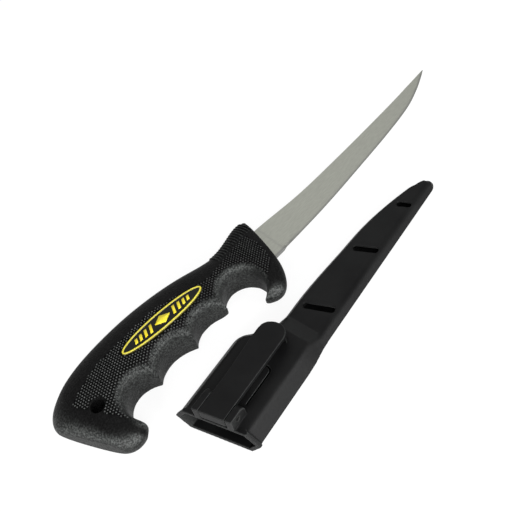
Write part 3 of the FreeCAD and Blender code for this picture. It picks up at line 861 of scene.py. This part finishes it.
def within(value, start, full, fade, end):
    """Goes from 0 at start to 1 at full, stays there, and goes back to 0 from fade to end."""
    return ramp_up(value, start, full) * ramp_up(-value, -end, -fade)


def slot_opened(at):
    """How far the drain slots' softened walls stand back from a point's first place."""
    shift = Vector((0.0, 0.0, 0.0))
    out = Vector((math.cos(slot_turn), math.sin(slot_turn), 0.0))
    for x, y, length in slots:
        away = Vector((at.x - x, at.y - y, 0.0))
        off = away.dot(out)
        past_end = away.cross(out).length - length / 2
        near = ramp_up(-abs(off), -slot_half_width - slot_fade, -slot_half_width)
        near *= ramp_up(-past_end, *slot_end_fade)
        shift += out * math.copysign(slot_wider, off) * near
    return shift


def drawn(at):
    """Where the mould's finer curves take a point: a skewed ramp, a fuller left side, a round tip."""
    skew = within(at.y, *skew_across) * within(at.x, *skew_along)
    neck = ramp_up(at.y, *neck_across) * within(at.x, *neck_along)
    across = (at.y - tip_middle) / tip_half
    arch = tip_arch - tip_corner * min(across * across, tip_corner_most)
    arch *= ramp_up(at.x, *tip_arch_along)
    along = ramp_skew * skew + tip_longer * ramp_up(at.x, *tip_longer_along) + arch
    side = fuller_side * ramp_up(at.x, *fuller_along) - leaner_side * within(at.x, *leaner_along)
    side = side * ramp_up(at.y, *left_side) + neck_fuller * neck
    return at + slot_opened(at) + Vector((along, side, 0.0))


sheath = soft_copy("sheath_shell", ("sheath_body",), sheath_voxel, sheath_softening, sheath_home)
for vertex in sheath.data.vertices:
    vertex.co = drawn(vertex.co / mm) * mm
sheath.data.update()


def outward(vertex):
    """How far a point of the sheath faces away from the sheath's middle plane."""
    return vertex.normal.z * math.copysign(1.0, vertex.co.z)


def past_mouth(vertex):
    """How far a point of the sheath is past its slanted mouth."""
    return vertex.co.x + vertex.co.y * mouth_lean


broad, slanted = [], []
for vertex in sheath.data.vertices:
    if outward(vertex) > broad_facing and abs(vertex.co.z) < face_level:
        broad.append(vertex.co.copy())
    elif slanted_facing[0] < outward(vertex) < slanted_facing[1]:
        if vertex.normal.y < 0.0 or vertex.co.x < thin_start:
            slanted.append(vertex.co.copy())
broad_tree = near_points(broad)
slanted_tree = near_points(slanted)


def shoulder(vertex):
    """How far the rolled shoulder between a broad face and a slanted side takes in a point."""
    if outward(vertex) < shoulder_facing:
        return 0.0
    if abs(vertex.co.z) > face_level or past_mouth(vertex) < bead_end:
        return 0.0
    away = max(broad_tree.find(vertex.co)[2], slanted_tree.find(vertex.co)[2])
    thick = ramp_up(abs(vertex.co.z), thin_level, thick_level)
    reach = shoulder_reach_thin + (shoulder_reach - shoulder_reach_thin) * thick
    return ramp_up(-away, -reach, -0.5 * reach)


def edge_wear_and_highlight(piece, voxel):
    """How far each point of a piece stands out from those around it, from 0 to 1, for lighter edges
    that are partly wear and partly painted highlight.
    """
    shape = bmesh.new()
    shape.from_mesh(piece.data)
    wear_and_light = []
    for vertex in shape.verts:
        around = [edge.other_vert(vertex).co for edge in vertex.link_edges]
        middle = sum(around, Vector()) / len(around)
        wear_and_light.append(ramp_up((vertex.co - middle).dot(vertex.normal) / voxel, edge_wear_light_low, edge_wear_light_high))
    shape.free()
    return wear_and_light


def mouth_light(vertex):
    """How much a point of the inner wall near the mouth is painted lighter, as painted light falling in
    through the mouth.
    """
    inside = ramp_up(-outward(vertex), *mouth_light_inside)
    on_wall = ramp_up(-vertex.normal.y, *mouth_light_facing)
    return inside * on_wall * ramp_up(-past_mouth(vertex), -mouth_light_depth, 0.0)


def ramp_light(vertex):
    """How much a point on the ramp from the throat down to the thin part is painted lighter, as painted
    light on that face.
    """
    on_ramp = ramp_up(vertex.normal.x, *ramp_lean) * ramp_up(outward(vertex), *ramp_facing)
    return ramp_light_share * on_ramp * within(vertex.co.x / mm, *ramp_along)


def set_wear_and_light(piece, values):
    """Keeps a value for each point of a piece as its wear and painted light."""
    wear_and_light = piece.data.attributes.new("wear_and_light", "FLOAT", "POINT")
    wear_and_light.data.foreach_set("value", values)


round_over(sheath, shoulder, shoulder_rounding)
sheath_wear_and_light = edge_wear_and_highlight(sheath, sheath_voxel)
# Edges on the throat are painted lighter, partly wear and partly painted highlight; the mouth's inner
# wall and the ramp are painted lighter as painted light.
for vertex in sheath.data.vertices:
    on_throat = ramp_up(-vertex.co.x, -thin_start, -thin_start + shoulder_reach)
    on_edge = sheath_wear_and_light[vertex.index] * on_throat
    sheath_wear_and_light[vertex.index] = max(on_edge, mouth_light(vertex), ramp_light(vertex))
set_wear_and_light(sheath, sheath_wear_and_light)
sheath.data.transform(sheath_home)

matt_black, tree, shader = new_finish("matt_black_moulding")
grain = noise(tree, scale=2600.0)
drift = noise(tree, scale=60.0, detail=3.0)
worn_and_lit = blend(tree, "wear_and_light", ramp(tree, drift, sheath_black, sheath_black_worn))
worn_and_lit.inputs["B"].default_value = sheath_wear_light_grey
tree.links.new(worn_and_lit.outputs["Result"], shader.inputs["Base Color"])
tree.links.new(spread_value(tree, drift, low=0.46, high=0.54), shader.inputs["Roughness"])
bump(tree, shader, grain, depth=0.05 * mm)
shader.inputs["Specular IOR Level"].default_value = 0.13
dress(sheath, matt_black)
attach(sheath, "sheath")
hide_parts("sheath_body")


# The clip is a springy strap of the same moulding, its edges painted a little grey, partly as wear and
# partly as painted highlight.
# It hangs on a blackened steel pin between the cheeks.
clip_voxel = 0.3 * mm
clip_softening = 9
clip_middle = 19.2
strap_flare = 1.2
flare_along = (15.0, 40.0)
flare_across = (0.0, 6.0)
clip = soft_copy("sprung_clip", ("belt_clip",), clip_voxel, clip_softening, sheath_home)
for vertex in clip.data.vertices:
    at = vertex.co / mm
    flare = ramp_up(at.x, *flare_along) * ramp_up(at.y - clip_middle, *flare_across)
    vertex.co.y += strap_flare * flare * mm
clip.data.update()
set_wear_and_light(clip, edge_wear_and_highlight(clip, clip_voxel))
clip.data.transform(sheath_home)
dress(clip, matt_black)
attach(clip, "clip")
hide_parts("belt_clip")

pin_black = (0.020, 0.020, 0.021, 1.0)
pin_black_worn = (0.060, 0.059, 0.056, 1.0)
blackened_steel, tree, shader = new_finish("blackened_steel")
turned = noise(tree, scale=1500.0, detail=3.0)
tree.links.new(ramp(tree, turned, pin_black, pin_black_worn), shader.inputs["Base Color"])
tree.links.new(spread_value(tree, turned, low=0.35, high=0.5), shader.inputs["Roughness"])
shader.inputs["Metallic"].default_value = 1.0
dress(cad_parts["clip_pin"], blackened_steel)


# The table is a wide white sheet under soft light, and the room over it is dimmer than the table.
# What the camera and the polished faces see of the sheet is white with a faint shadow on it.
table_reach = 40.0
table_squares = 8
table_below = 0.05 * mm
sheet_lit = (0.50, 0.50, 0.50, 1.0)
sheet_seen = (0.14, 0.14, 0.14, 1.0)
sheet_glow = 0.90
table_shape = bmesh.new()
bmesh.ops.create_grid(table_shape, x_segments=table_squares, y_segments=table_squares, size=table_reach)
table = new_piece("table", table_shape)
table.location.z = -table_below
white_sheet, tree, shader = new_finish("white_sheet")
shader.inputs["Base Color"].default_value = sheet_lit
shader.inputs["Roughness"].default_value = 0.9
shader.inputs["Specular IOR Level"].default_value = 0.0
seen_by = tree.nodes.new("ShaderNodeLightPath")
seen_sheet = tree.nodes.new("ShaderNodeBsdfDiffuse")
seen_sheet.inputs["Color"].default_value = sheet_seen
seen_glow = tree.nodes.new("ShaderNodeEmission")
seen_glow.inputs["Color"].default_value = (1.0, 1.0, 1.0, 1.0)
seen_glow.inputs["Strength"].default_value = sheet_glow
seen = tree.nodes.new("ShaderNodeAddShader")
tree.links.new(seen_sheet.outputs["BSDF"], seen.inputs[0])
tree.links.new(seen_glow.outputs["Emission"], seen.inputs[1])
any_seen = seen_by.outputs["Is Camera Ray"]
for ray in ("Is Glossy Ray", "Is Transmission Ray"):
    either = tree.nodes.new("ShaderNodeMath")
    either.operation = "MAXIMUM"
    tree.links.new(any_seen, either.inputs[0])
    tree.links.new(seen_by.outputs[ray], either.inputs[1])
    any_seen = either.outputs["Value"]
choose = tree.nodes.new("ShaderNodeMixShader")
tree.links.new(any_seen, choose.inputs["Fac"])
tree.links.new(shader.outputs["BSDF"], choose.inputs[1])
tree.links.new(seen.outputs["Shader"], choose.inputs[2])
tree.links.new(choose.outputs["Shader"], tree.nodes["Material Output"].inputs["Surface"])
dress(table, white_sheet)

wall_grey = (0.60, 0.60, 0.60, 1.0)
ceiling_grey = (0.22, 0.22, 0.22, 1.0)
room = bpy.data.worlds.new("room")
bpy.context.scene.world = room
room.use_nodes = True
tree = room.node_tree
sky = tree.nodes["Background"]
direction = tree.nodes.new("ShaderNodeTexCoord")
parts = tree.nodes.new("ShaderNodeSeparateXYZ")
tree.links.new(direction.outputs["Generated"], parts.inputs["Vector"])
walls_to_ceiling = ramp(tree, parts.outputs["Z"], wall_grey, ceiling_grey, low_end=0.02, high_end=0.25)
tree.links.new(walls_to_ceiling, sky.inputs["Color"])
sky.inputs["Strength"].default_value = 1.0


def soft_lamp(name, place, aim, width, power):
    """A square lamp with a soft face, turned to a point."""
    lamp = bpy.data.lights.new(name, "AREA")
    lamp.size = width
    lamp.energy = power
    stand = bpy.data.objects.new(name, lamp)
    stand.location = place
    stand.rotation_euler = (Vector(aim) - Vector(place)).to_track_quat("-Z", "Y").to_euler()
    stand.visible_camera = False
    bpy.context.scene.collection.objects.link(stand)


lamp_aim = (-0.02, 0.0, 0.0)
soft_lamp("top_lamp", (0.70, 0.97, 1.33), aim=(0.0, 0.0, 0.0), width=2.0, power=9.5)
soft_lamp("right_lamp", (0.18, -0.90, 0.33), lamp_aim, width=0.5, power=10.0)
soft_lamp("front_lamp", (-0.54, -0.74, 1.00), lamp_aim, width=0.6, power=8.0)
soft_lamp("butt_lamp", (-1.00, -0.50, 0.45), lamp_aim, width=0.5, power=9.0)


# The camera stands over the butt's side of the table, leans to its left, and looks down at the knife
# and the sheath side by side.
camera_place = Vector((-156.47, -168.54, 269.03)) * mm
camera_right = Vector((0.65576, -0.73066, -0.19004))
camera_up = Vector((0.64628, 0.41316, 0.64158))
focal_in_frames = 700.0 / 512.0
sensor_width = 36.0
view = bpy.data.cameras.new("view")
view.sensor_fit = "HORIZONTAL"
view.sensor_width = sensor_width
view.lens = sensor_width * focal_in_frames
view.clip_start = 0.01
camera = bpy.data.objects.new("camera", view)
camera_back = camera_right.cross(camera_up)
camera.matrix_world = Matrix((camera_right, camera_up, camera_back)).transposed().to_4x4()
camera.location = camera_place
bpy.context.scene.collection.objects.link(camera)
bpy.context.scene.camera = camera
bpy.context.scene.view_settings.view_transform = "Standard"
